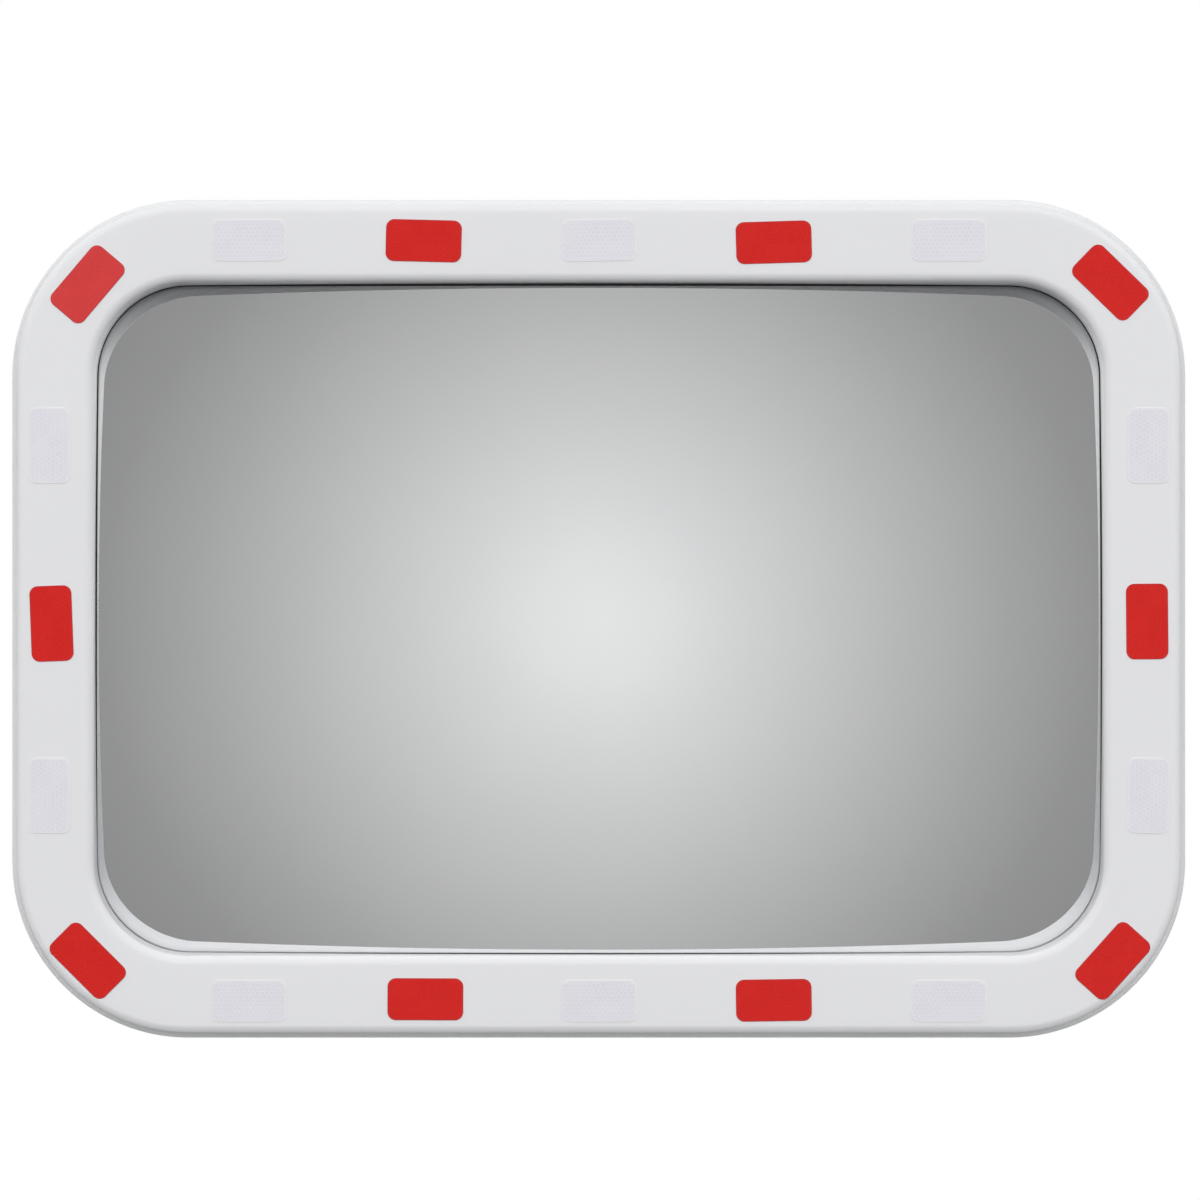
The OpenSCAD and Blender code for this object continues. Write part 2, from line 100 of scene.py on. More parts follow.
# ---------------------------------------------------------------- materials
class Nodes:
    """Short ways to add nodes to one tree. Keys i0, i1... name a node's inputs by number, and p_... its properties."""

    def __init__(self, tree):
        self.tree = tree

    def add(self, kind, **inputs):
        node = self.tree.nodes.new(kind)
        for key, value in inputs.items():
            if key.startswith("p_"):
                setattr(node, key[2:], value)
                continue
            name = key.replace("_", " ")
            target = node.inputs[int(key[1:])] if key[0] == "i" and key[1:].isdigit() else node.inputs[name]
            if isinstance(value, bpy.types.NodeSocket):
                self.tree.links.new(value, target)
            else:
                target.default_value = value
        return node

    def math(self, op, a, b=None, clamp=False):
        node = self.add("ShaderNodeMath", p_operation=op, p_use_clamp=clamp, i0=a)
        if b is not None:
            if isinstance(b, bpy.types.NodeSocket):
                self.tree.links.new(b, node.inputs[1])
            else:
                node.inputs[1].default_value = b
        return node.outputs[0]

    def noise(self, vector, scale, detail=3.0, rough=0.5):
        return self.add("ShaderNodeTexNoise", Vector=vector, Scale=scale, Detail=detail,
                        Roughness=rough).outputs["Fac"]

    def mapped(self, fac, low, high, a=0.0, b=1.0):
        return self.add("ShaderNodeMapRange", i0=fac, i1=low, i2=high, i3=a, i4=b).outputs[0]

    def mix(self, fac, a, b):
        node = self.add("ShaderNodeMix", p_data_type="RGBA")
        for socket, value in ((node.inputs[0], fac), (node.inputs[6], a), (node.inputs[7], b)):
            if isinstance(value, bpy.types.NodeSocket):
                self.tree.links.new(value, socket)
            else:
                socket.default_value = value
        return node.outputs[2]

    def ramp(self, fac, stops):
        node = self.add("ShaderNodeValToRGB", Fac=fac)
        ramp = node.color_ramp
        while len(ramp.elements) < len(stops):
            ramp.elements.new(0.5)
        for element, (place, colour) in zip(ramp.elements, stops):
            element.position = place
            element.color = colour
        return node.outputs[0]


def rgba(r, g, b):
    return (r, g, b, 1.0)


def material(name):
    made = bpy.data.materials.new(name)
    made.use_nodes = True
    tree = made.node_tree
    n = Nodes(tree)
    shader = tree.nodes["Principled BSDF"]
    place = n.add("ShaderNodeTexCoord").outputs["Object"]
    return made, n, shader, place


def bump(n, shader, height, strength, distance):
    node = n.add("ShaderNodeBump", Height=height, Strength=strength, Distance=distance)
    n.tree.links.new(node.outputs[0], shader.inputs["Normal"])


def plastic(name, colour, rough, grain=900.0, grain_depth=0.00004, wave=0.0):
    """Moulded plastic: a fine grain, a broad sink-mark waviness and a slight change of tone."""
    made, n, shader, place = material(name)
    broad = n.noise(place, 5.0, 2.0)
    fine = n.noise(place, grain, 2.0)
    dust = n.noise(place, 38.0, 6.0, 0.65)
    tone = n.mix(n.mapped(broad, 0.3, 0.7), rgba(*[c * 0.985 for c in colour]), rgba(*colour))
    dusty = rgba(colour[0] * 0.8, colour[1] * 0.79, colour[2] * 0.76)
    tone = n.mix(n.mapped(dust, 0.62, 0.8, 0.0, 0.06), tone, dusty)
    n.tree.links.new(tone, shader.inputs["Base Color"])
    n.tree.links.new(n.mapped(dust, 0.2, 0.8, rough - 0.05, rough + 0.07), shader.inputs["Roughness"])
    shader.inputs["IOR"].default_value = 1.49
    height = n.math("ADD", fine, n.math("MULTIPLY", n.noise(place, 26.0, 2.0), wave))
    bump(n, shader, height, 0.35, grain_depth)
    return made


def metal(name, colour, rough, streak=(40.0, 40.0, 900.0), spangle=True):
    """Zinc-plated steel: drawn streaks, cloudy plating and small dull marks."""
    made, n, shader, place = material(name)
    stretched = n.add("ShaderNodeMapping", Vector=place, Scale=streak).outputs[0]
    lines = n.noise(stretched, 1.0, 4.0, 0.6)
    clouds = n.noise(place, 55.0, 5.0, 0.6)
    marks = n.noise(place, 240.0, 3.0, 0.7)
    tone = n.mix(n.mapped(clouds, 0.3, 0.72), rgba(*[c * 0.8 for c in colour]), rgba(*colour))
    if spangle:
        cells = n.add("ShaderNodeTexVoronoi", Vector=place, Scale=210.0).outputs["Color"]
        tone = n.mix(n.mapped(cells, 0.0, 1.0, 0.0, 0.16), tone, rgba(*[min(1.0, c * 1.22) for c in colour]))
    dull = rgba(colour[0] * 0.55, colour[1] * 0.54, colour[2] * 0.52)
    tone = n.mix(n.mapped(marks, 0.66, 0.78, 0.0, 0.35), tone, dull)
    n.tree.links.new(tone, shader.inputs["Base Color"])
    shader.inputs["Metallic"].default_value = 1.0
    n.tree.links.new(n.mapped(n.math("ADD", clouds, lines), 0.6, 1.4, rough - 0.08, rough + 0.12),
                     shader.inputs["Roughness"])
    bump(n, shader, n.math("ADD", lines, n.math("MULTIPLY", marks, 0.6)), 0.25, 0.00006)
    return made


def film(name, colour, deep, line):
    """Prismatic reflective film: a hexagonal seal pattern over tiny prisms, under a clear top layer."""
    made, n, shader, place = material(name)
    prisms = n.add("ShaderNodeTexVoronoi", Vector=place, Scale=1500.0).outputs["Color"]
    broad = n.noise(place, 60.0, 3.0)
    tone = n.mix(n.mapped(prisms, 0.0, 1.0), rgba(*deep), rgba(*colour))
    tone = n.mix(n.mapped(broad, 0.3, 0.7, 0.0, 0.35), tone, rgba(*line))
    n.tree.links.new(tone, shader.inputs["Base Color"])
    n.tree.links.new(n.mapped(broad, 0.3, 0.7, 0.3, 0.4), shader.inputs["Roughness"])
    shader.inputs["Specular IOR Level"].default_value = 0.25
    bump(n, shader, prisms, 0.2, 0.00003)
    return made


def rubber(name, level, rough=0.75):
    """Black rubber or foam with a fine bloom."""
    made, n, shader, place = material(name)
    fine = n.noise(place, 1200.0, 3.0)
    n.tree.links.new(n.mix(fine, rgba(level, level, level * 1.05), rgba(level * 1.9, level * 1.9, level * 2.0)),
                     shader.inputs["Base Color"])
    n.tree.links.new(n.mapped(fine, 0.3, 0.7, rough - 0.08, rough + 0.08), shader.inputs["Roughness"])
    bump(n, shader, fine, 0.4, 0.00005)
    return made


def mirror_coat():
    """Metallised acrylic: nearly perfect, with a faint haze and the slight waviness of a formed sheet."""
    made, n, shader, place = material("mirror")
    haze = n.noise(place, 14.0, 5.0, 0.6)
    n.tree.links.new(n.mix(n.mapped(haze, 0.3, 0.75), rgba(0.925, 0.93, 0.935), rgba(0.905, 0.912, 0.92)),
                     shader.inputs["Base Color"])
    shader.inputs["Metallic"].default_value = 1.0
    n.tree.links.new(n.mapped(haze, 0.3, 0.75, 0.02, 0.035), shader.inputs["Roughness"])
    bump(n, shader, n.noise(place, 9.0, 1.0), 0.05, 0.0002)
    return made


MAT = {
    "mirror": mirror_coat(),
    "white_frame": plastic("white_frame", (0.805, 0.808, 0.825), 0.33, wave=0.8),
    "white_shell": plastic("white_shell", (0.79, 0.80, 0.805), 0.4, 700.0, 0.00006, 1.0),
    "black_rubber": rubber("black_rubber", 0.012),
    "black_foam": rubber("black_foam", 0.02, 0.85),
    "zinc_plate": metal("zinc_plate", (0.62, 0.63, 0.64), 0.38),
    "zinc_bracket": metal("zinc_bracket", (0.66, 0.67, 0.68), 0.34),
    "zinc_hardware": metal("zinc_hardware", (0.72, 0.73, 0.74), 0.26, spangle=False),
    "yellow_zinc": metal("yellow_zinc", (0.75, 0.60, 0.30), 0.3, spangle=False),
    "nylon": plastic("nylon", (0.78, 0.76, 0.70), 0.45, 1200.0),
    "red_film": film("red_film", (0.71, 0.017, 0.013), (0.63, 0.012, 0.009), (0.77, 0.026, 0.02)),
    "red_cells": film("red_cells", (0.68, 0.013, 0.009), (0.59, 0.008, 0.006), (0.73, 0.021, 0.015)),
    "red_rim": film("red_rim", (0.53, 0.03, 0.034), (0.47, 0.024, 0.028), (0.57, 0.038, 0.04)),
    # The three lighter red films below paint a sheen on one patch.
    "faded_rim": film("faded_rim", (0.56, 0.05, 0.056), (0.50, 0.044, 0.05), (0.60, 0.06, 0.064)),
    "white_rim": film("white_rim", (0.82, 0.818, 0.84), (0.80, 0.798, 0.82), (0.835, 0.833, 0.85)),
    "faded_film": film("faded_film", (0.72, 0.052, 0.052), (0.65, 0.045, 0.045), (0.77, 0.066, 0.066)),
    "faded_cells": film("faded_cells", (0.69, 0.046, 0.046), (0.60, 0.038, 0.038), (0.74, 0.058, 0.058)),
    "white_film": film("white_film", (0.83, 0.825, 0.857), (0.79, 0.785, 0.83), (0.845, 0.84, 0.87)),
    "white_cells": film("white_cells", (0.78, 0.775, 0.83), (0.71, 0.705, 0.78), (0.82, 0.815, 0.855)),
}
SLOT_OF = {row["node"]: row["material_slot"] for row in frame["record"]["subparts"]}
for node_name, node_object in nodes.items():
    node_object.data.materials.clear()
    node_object.data.materials.append(MAT[SLOT_OF[node_name]])


# ---------------------------------------------------------------- mesh helpers
def finish_mesh(name, bm, materials, body, replaced, sharp=32.0, merge=True):
    """Makes bm an object that rides on body, in place of the CAD nodes replaced. Edges over sharp degrees stay."""
    if merge:
        bmesh.ops.remove_doubles(bm, verts=bm.verts, dist=1e-6)
    bmesh.ops.recalc_face_normals(bm, faces=bm.faces)
    mesh = bpy.data.meshes.new(name)
    bm.to_mesh(mesh)
    bm.free()
    for polygon in mesh.polygons:
        polygon.use_smooth = True
    mesh.set_sharp_from_angle(angle=math.radians(sharp))
    for one in materials:
        mesh.materials.append(MAT[one])
    made = bpy.data.objects.new(name, mesh)
    bpy.context.scene.collection.objects.link(made)
    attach(made, body)
    if replaced:
        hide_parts(*replaced)
    return made


def grid(bm, rows, close_u=False, close_v=False, mat=0):
    """Faces between rows of vertices. close_u joins the last row to the first, close_v each row's ends."""
    count = len(rows)
    made = []
    for i in range(count if close_u else count - 1):
        a, b = rows[i], rows[(i + 1) % count]
        width = len(a)
        for j in range(width if close_v else width - 1):
            k = (j + 1) % width
            quad = []
            for v in (a[j], a[k], b[k], b[j]):
                if v not in quad:
                    quad.append(v)
            if len(quad) > 2:
                face = bm.faces.new(quad)
                face.material_index = mat
                made.append(face)
    return made


def stations(corner=24, long_side=14, short_side=8):
    """Places round the body, as (arc centre x, y, angle)."""
    made = []
    centres = [(SX, SY), (-SX, SY), (-SX, -SY), (SX, -SY)]
    for q, (cx, cy) in enumerate(centres):
        for i in range(corner + 1):
            made.append((cx, cy, math.radians(90 * q + 90 * i / corner)))
        nx, ny = centres[(q + 1) % 4]
        steps = long_side if q % 2 == 0 else short_side
        for i in range(1, steps):
            t = i / steps
            made.append((cx + (nx - cx) * t, cy + (ny - cy) * t, math.radians(90 * (q + 1))))
    return made


def at(station, u):
    """The place u mm in from the outline at a station."""
    cx, cy, a = station
    return cx + (CORNER_R - u) * math.cos(a), cy + (CORNER_R - u) * math.sin(a)


def swept(bm, section, places, closed=True, mat=0):
    """section(station) gives [(u, z)] in mm; returns the rows of vertices."""
    rows = []
    for station in places:
        row = []
        for u, z in section(station):
            x, y = at(station, u)
            row.append(bm.verts.new(world(x, y, z)))
        rows.append(row)
    grid(bm, rows, close_u=True, close_v=closed, mat=mat)
    return rows


# ---------------------------------------------------------------- mirror
def build_mirror():
    bm = bmesh.new()
    places = stations(40, 40, 26)
    outline = [at(s, BAND - 6.0) for s in places]

    def side(off, steps):
        """The dome's surface, off mm outside its front, as rings from the middle to the edge."""
        rows = []
        for t in steps:
            if t == 0.0:
                centre = bm.verts.new(world(0, 0, dome(0, 0, off)))
                rows.append([centre] * len(outline))
            else:
                rows.append([bm.verts.new(world(x * t, y * t, dome(x * t, y * t, off))) for x, y in outline])
        grid(bm, rows, close_v=True)
        return rows[-1]

    front = side(0.0, [i / 64 for i in range(65)])
    back = side(-MIRROR_T, [i / 16 for i in range(17)])
    grid(bm, [front, back], close_v=True)
    finish_mesh("mirror", bm, ["mirror"], "head", ["mirror_face"], sharp=40, merge=False)


# ---------------------------------------------------------------- front frame
def frame_section(station):
    """The frame's channel as (u, z): outside from the rim over the lip to its foot on the gasket, then back inside."""
    t = 2.5
    sx, sz = 3.8 + SHOULDER_R, FACE_Z - SHOULDER_R
    lx, lz = BAND - LIP_R, FACE_Z - LIP_R
    x, y = at(station, BAND + 0.5)
    foot = dome(x, y, GASKET_T) + 0.02
    drop = max(lz - foot, 0.3)
    u_foot = BAND + 1.5 * drop / 24
    outer = [(3.05, 0.25), (3.0, 0.6)] + arc(sx, sz, SHOULDER_R, 180, 90, 14)
    outer += [(BAND / 2 - 8, FACE_Z), (BAND / 2 + 8, FACE_Z)]
    outer += arc(lx, lz, LIP_R, 90, 0, 14)
    outer += [(BAND + 1.5 * (drop * 0.5) / 24, lz - drop * 0.5), (u_foot, foot + 0.35), (u_foot - 0.3, foot)]
    inner = [(u_foot - t + 0.2, foot), (u_foot - t, foot + 0.3), (lx + LIP_R - t, lz)]
    inner += arc(lx, lz, LIP_R - t, 0, 90, 6)[1:]
    inner += arc(sx, sz, SHOULDER_R - t, 90, 180, 6)
    inner += [(3.0 + t, 0.0), (3.3, 0.0)]
    return outer + inner


def build_frame():
    bm = bmesh.new()
    swept(bm, frame_section, stations(32, 18, 12))
    finish_mesh("frame", bm, ["white_frame"], "head", ["front_frame"], sharp=50)


def gasket_section(station):
    """The gasket between mirror and frame. Its tongue shows a little, more at the top than at the bottom."""
    x, y = at(station, BAND)
    low = dome(x, y, 0.0) + 0.03
    high = dome(x, y, GASKET_T)
    tongue = BAND + 1.2 + 0.55 * y / 200
    return [(BAND - 1.6, low), (tongue - 0.3, low), (tongue, low + 0.25), (tongue - 0.25, low + 0.55),
            (BAND + 0.5, high - 0.6), (BAND + 0.2, high), (BAND - 1.6, high)]


def build_gasket():
    bm = bmesh.new()
    swept(bm, gasket_section, stations(32, 24, 16))
    finish_mesh("gasket", bm, ["black_rubber"], "head", ["mirror_gasket"], sharp=60)


# ---------------------------------------------------------------- rear shell
def baked(target, cutters):
    """Cuts the cutters out of target's mesh and removes them."""
    for cutter in cutters:
        modifier = target.modifiers.new("cut", "BOOLEAN")
        modifier.operation = "DIFFERENCE"
        modifier.object = cutter
        modifier.solver = "EXACT"
    bpy.context.view_layer.update()
    graph = bpy.context.evaluated_depsgraph_get()
    mesh = bpy.data.meshes.new_from_object(target.evaluated_get(graph))
    old = target.data
    target.modifiers.clear()
    target.data = mesh
    bpy.data.meshes.remove(old)
    for cutter in cutters:
        bpy.data.objects.remove(cutter)


WALL_X = 32.0     # the shell's side wall, in from the outline
WALL_BEND = 9.0   # radius where that wall turns into the floor


def shell_outer():
    """The shell's outside as (u, z), from the parting plane over the rim and down the wall to the floor."""
    out = arc(1.4, -1.4, 1.4, 90, 180, 5)
    out += arc(1.4, -1.6, 1.4, 180, 270, 5)
    out += [(12.0, -3.0), (21.5, -3.0)]
    out += [(24.2 - 2.0 * math.cos(math.radians(a)), -5.0 + 2.0 * math.sin(math.radians(a))) for a in (65, 40, 15)]
    out += arc(WALL_X + WALL_BEND - 3.0, -PAN + WALL_BEND, WALL_BEND, 180, 270, 10)
    return out


def shell_inner():
    return [(1.4, 0.0), (6.0, 0.0), (27.0, 0.0)] + arc(35.0, -PAN + WALL_BEND, WALL_BEND - 3.0, 180, 270, 6)


def boss(bm, outline, base, height, fillet, top_r):
    """A raised pad on the back. outline(offset) gives its edge moved outwards; it flares into the floor."""
    rows = []
    steps = [(fillet - fillet * math.sin(math.radians(a)), fillet - fillet * math.cos(math.radians(a)))
             for a in (0, 22, 45, 67, 90)]
    steps += [(-top_r + top_r * math.cos(math.radians(a)), height - top_r + top_r * math.sin(math.radians(a)))
              for a in (0, 22, 45, 67, 90)]
    for off, rise in steps:
        rows.append([bm.verts.new(world(x, y, base - rise)) for x, y in outline(off)])
    low = [bm.verts.new(world(x, y, base + 0.6)) for x, y in outline(fillet)]
    grid(bm, [low] + rows, close_v=True)
    bm.faces.new(rows[-1])
    bm.faces.new(low)


def rounded_outline(w, h, r, cx=0.0, cy=0.0, n=10):
    """A rounded rectangle, as a function of how far its edge is moved outwards."""
    def of(off):
        rr = r + off
        points = []
        for q, (sx, sy) in enumerate(((1, 1), (-1, 1), (-1, -1), (1, -1))):
            for i in range(n + 1):
                a = math.radians(90 * q + 90 * i / n)
                points.append((cx + sx * (w / 2 - r) + rr * math.cos(a), cy + sy * (h / 2 - r) + rr * math.sin(a)))
        return points
    return of


def drill(name, centre, direction, radius, length):
    """A cylinder that baked() cuts out of a piece."""
    bm = bmesh.new()
    axis = Vector(direction).normalized()
    turn = axis.to_track_quat("Z", "Y").to_matrix().to_4x4()
    bmesh.ops.create_cone(bm, cap_ends=True, segments=32, radius1=radius, radius2=radius, depth=length,
                          matrix=Matrix.Translation(centre) @ turn)
    mesh = bpy.data.meshes.new(name)
    bm.to_mesh(mesh)
    bm.free()
    made = bpy.data.objects.new(name, mesh)
    bpy.context.scene.collection.objects.link(made)
    return made


def build_shell():
    bm = bmesh.new()
    places = stations(28, 20, 12)
    outer = shell_outer()
    inner = shell_inner()
    section = list(reversed(inner)) + outer[1:]
    rows = swept(bm, lambda s: section, places, closed=False)
    bm.faces.new([row[-1] for row in rows])
    bm.faces.new([row[0] for row in rows])
    rib = [(BAND - 1.5, -PAN + 3.5), (BAND + 1.5, -PAN + 3.5)]

    def rib_section(station):
        x, y = at(station, BAND)
        top = dome(x, y, -MIRROR_T - 1.6)
        return rib + [(BAND + 1.5, top), (BAND - 1.5, top)]

    swept(bm, rib_section, places)
    made = finish_mesh("shell", bm, ["white_shell"], "head", ["rear_shell"], sharp=40, merge=False)
    baked(made, [drill(f"drain{s}", world(s * 120, -221, -PAN / 2 - 2), (0, 0, 1), 3.0 * MM, 0.02) for s in (-1, 1)])
    # The pad and beads are joined on after the cut, because the boolean drops open shapes
    bm = bmesh.new()
    boss(bm, rounded_outline(110, 170, 14), -PAN, -PAD_Z - PAN, 3.0, 2.0)
    for s in (-1, 1):
        for row in (-1, 0, 1):
            boss(bm, rounded_outline(200, 20, 10, s * 172, row * 56, 12), -PAN, 5.0, 3.0, 2.2)
    bmesh.ops.recalc_face_normals(bm, faces=bm.faces)
    bm.from_mesh(made.data)
    bm.to_mesh(made.data)
    bm.free()
    for polygon in made.data.polygons:
        polygon.use_smooth = True
    made.data.set_sharp_from_angle(angle=math.radians(40))


# ---------------------------------------------------------------- reflectors
def clip(poly, inside, cut):
    """The part of a polygon on the inner side of one line."""
    out = []
    for i, p in enumerate(poly):
        q = poly[(i + 1) % len(poly)]
        if inside(p):
            out.append(p)
            if not inside(q):
                out.append(cut(p, q))
        elif inside(q):
            out.append(cut(p, q))
    return out


def clip_convex(poly, boundary):
    """The part of a polygon inside a convex boundary."""
    for i, a in enumerate(boundary):
        b = boundary[(i + 1) % len(boundary)]
        nx, ny = -(b[1] - a[1]), b[0] - a[0]

        def depth(p):
            return (p[0] - a[0]) * nx + (p[1] - a[1]) * ny

        def cut(p, q):
            dp, dq = depth(p), depth(q)
            t = dp / (dp - dq)
            return (p[0] + (q[0] - p[0]) * t, p[1] + (q[1] - p[1]) * t)

        poly = clip(poly, lambda p: depth(p) >= 0, cut)
        if len(poly) < 3:
            return []
    return poly


def area(poly):
    return 0.5 * sum(p[0] * q[1] - q[0] * p[1] for p, q in zip(poly, poly[1:] + poly[:1]))


PATCH_PARTS = ("_film", "_cells", "_rim")
CELL = 1.55       # side of a honeycomb cell with its seal
CELL_GAP = 0.17   # seal round each cell


def film_patch(colour):
    """One reflector's mesh, lying in its own x-y plane: a slab with a sealed rim and raised hexagonal cells."""
    bm = bmesh.new()
    outline = rounded_outline(45.0, 25.0, 5.0)
    rows = []
    for off, z in ((0.0, 0.0), (0.0, 0.22), (-0.06, 0.29), (-0.2, 0.33), (-0.65, 0.33)):
        rows.append([bm.verts.new((x * MM, y * MM, z * MM)) for x, y in outline(off)])
    grid(bm, rows, close_v=True, mat=2)
    bm.faces.new(rows[-1])
    bm.faces.new(list(reversed(rows[0])))
    edge = outline(-1.0)
    pitch_x, pitch_y = CELL * math.sqrt(3), CELL * 1.5
    for j in range(-7, 8):
        for i in range(-10, 11):
            cx, cy = (i + 0.5 * (j % 2)) * pitch_x, j * pitch_y
            poly = [(cx + (CELL - CELL_GAP) * math.cos(math.radians(60 * k + 30)),
                     cy + (CELL - CELL_GAP) * math.sin(math.radians(60 * k + 30))) for k in range(6)]
            poly = clip_convex(poly, edge)
            if not poly or area(poly) < 0.8:
                continue
            mx = sum(p[0] for p in poly) / len(poly)
            my = sum(p[1] for p in poly) / len(poly)
            low = [bm.verts.new((x * MM, y * MM, 0.32 * MM)) for x, y in poly]
            high = [bm.verts.new(((mx + (x - mx) * 0.93) * MM, (my + (y - my) * 0.93) * MM, 0.37 * MM))
                    for x, y in poly]
            grid(bm, [low, high], close_v=True, mat=1)
            bm.faces.new(high).material_index = 1
            bm.faces.new(list(reversed(low))).material_index = 1
    mesh = bpy.data.meshes.new(colour + "_patch")
    bmesh.ops.recalc_face_normals(bm, faces=bm.faces)
    bm.to_mesh(mesh)
    bm.free()
    for part in PATCH_PARTS:
        mesh.materials.append(MAT[colour + part])
    return mesh


def faded(mesh):
    """The same patch in lighter red films: a painted sheen."""
    made = mesh.copy()
    for i, part in enumerate(PATCH_PARTS):
        made.materials[i] = MAT["faded" + part]
    return made


def long_axis_turn(node):
    """How far a CAD patch is turned in the frame's face: the angle of its long axis."""
    points = [vertex.co for vertex in nodes[node].data.vertices]
    mx = sum(p.x for p in points) / len(points)
    mz = sum(p.z for p in points) / len(points)
    xx = sum((p.x - mx) ** 2 for p in points)
    zz = sum((p.z - mz) ** 2 for p in points)
    xz = sum((p.x - mx) * (p.z - mz) for p in points)
    return math.atan2(2 * xz, xx - zz) / 2


def build_reflectors():
    meshes = {"red": film_patch("red"), "white": film_patch("white")}
    sheen_mesh = faded(meshes["red"])
    for colour in ("red", "white"):
        for i in range(1, 11):
            node = f"{colour}_reflector_{i}"
            # One red patch takes the lighter red films: a painted sheen.
            mesh = sheen_mesh if node == "red_reflector_2" else meshes[colour]
            low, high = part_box(node)
            centre = (low + high) / 2
            made = bpy.data.objects.new(node.replace("reflector", "patch"), mesh)
            bpy.context.scene.collection.objects.link(made)
            turned = Matrix.Rotation(long_axis_turn(node), 4, "Z")
            upright = Matrix.Rotation(math.radians(90), 4, "X")
            place = Vector((centre.x, face_low.y, centre.z))
            made.matrix_world = Matrix.Translation(place) @ upright @ turned
            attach(made, "head")
            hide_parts(node)


# ---------------------------------------------------------------- fasteners
ANGLES = [math.radians(5 * i) for i in range(72)]   # the same all round every fastener, so that its loops join


def hex_radius(a, flats):
    k = (math.degrees(a) + 30) % 60 - 30
    return flats / 2 / math.cos(math.radians(k))


def loop(bm, place, radius_of, z_of):
    return [bm.verts.new(place @ Vector((radius_of(a) * math.cos(a), radius_of(a) * math.sin(a), z_of(a))))
            for a in ANGLES]


def hex_side(bm, place, flats, z0, z1, both=False):
    """Rows of a hexagonal block, from its lower face's rim to its upper face's rim."""
    rim = flats / 2 * 0.95
    slope = math.tan(math.radians(30))

    def upper(a):
        return z1 - (hex_radius(a, flats) - rim) * slope

    def lower(a):
        return z0 + ((hex_radius(a, flats) - rim) * slope if both else 0.0)

    rows = []
    if both:
        rows.append(loop(bm, place, lambda a: rim, lambda a: z0))
    rows.append(loop(bm, place, lambda a: hex_radius(a, flats) - (0 if both else 0.12 * MM), lambda a: lower(a)))
    rows.append(loop(bm, place, lambda a: hex_radius(a, flats), lambda a: lower(a) + 0.15 * MM))
    rows.append(loop(bm, place, lambda a: hex_radius(a, flats), lambda a: upper(a) - 0.1 * MM))
    rows.append(loop(bm, place, lambda a: hex_radius(a, flats) - 0.06 * MM, lambda a: upper(a)))
    rows.append(loop(bm, place, lambda a: rim, lambda a: z1))
    return rows


def bolt(bm, place, r, length, flats, head, pitch, thread_from):
    """A hex bolt: head above z = 0, shank to z = -length, threaded below z = -thread_from. Metres."""
    rows = hex_side(bm, place, flats, 0.0, head)
    dish = loop(bm, place, lambda a: flats / 2 * 0.84, lambda a: head - 0.02 * MM)
    cup = loop(bm, place, lambda a: flats / 2 * 0.8, lambda a: head - 0.12 * MM)
    grid(bm, rows + [dish, cup], close_v=True)
    bm.faces.new(cup)
    depth = pitch * 0.54
    shank = [loop(bm, place, lambda a: r, lambda a: 0.0), loop(bm, place, lambda a: r, lambda a: -thread_from)]
    step = pitch / 6
    count = int((length - thread_from) / step)
    for i in range(1, count + 1):
        z = -thread_from - i * step
        room = length + z

        def radius(a, z=z, room=room):
            phase = (z / pitch - a / (2 * math.pi)) % 1.0
            crest = min(1.0, max(0.0, 2.6 * (0.5 - abs(phase - 0.5)) - 0.15))
            fade = min(1.0, (-z - thread_from) / (1.5 * pitch))
            return min(r - depth * crest * fade, r * 0.78 + room * 0.9)
        shank.append(loop(bm, place, radius, lambda a, z=z: z))
    shank.append(loop(bm, place, lambda a: r * 0.7, lambda a: -length))
    grid(bm, [rows[0]] + shank, close_v=True)
    bm.faces.new(shank[-1])


def nut(bm, place, r, flats, height, collar=0.0):
    """A hex nut from z = 0 upwards, with a locking collar if it has one."""
    rows = hex_side(bm, place, flats, 0.0, height, both=True)
    if collar:
        ring = flats / 2
        for radius, z in ((ring * 0.9, height), (ring * 0.89, height + collar * 0.55),
                          (ring * 0.8, height + collar * 0.9), (ring * 0.72, height + collar),
                          (ring * 0.68, height + collar * 0.95)):
            rows.append(loop(bm, place, lambda a, radius=radius: radius, lambda a, z=z: z))
        top = height + collar * 0.8
    else:
        top = height
    bore = [loop(bm, place, lambda a: r * 1.13, lambda a: top),
            loop(bm, place, lambda a: r * 1.01, lambda a: top - r * 0.12),
            loop(bm, place, lambda a: r * 1.01, lambda a: r * 0.12),
            loop(bm, place, lambda a: r * 1.13, lambda a: 0.0)]
    grid(bm, rows + bore, close_u=True, close_v=True)


def washer(bm, place, inner, outer, h):
    c = min(0.12 * MM, h * 0.2)
    shape = [(inner, c), (inner + c, 0.0), (outer - c * 1.5, 0.0), (outer, c), (outer, h - c * 1.5),
             (outer - c * 2.5, h), (inner + c, h), (inner, h - c)]
    rows = [loop(bm, place, lambda a, q=q: q[0], lambda a, q=q: q[1]) for q in shape]
    grid(bm, rows, close_u=True, close_v=True)


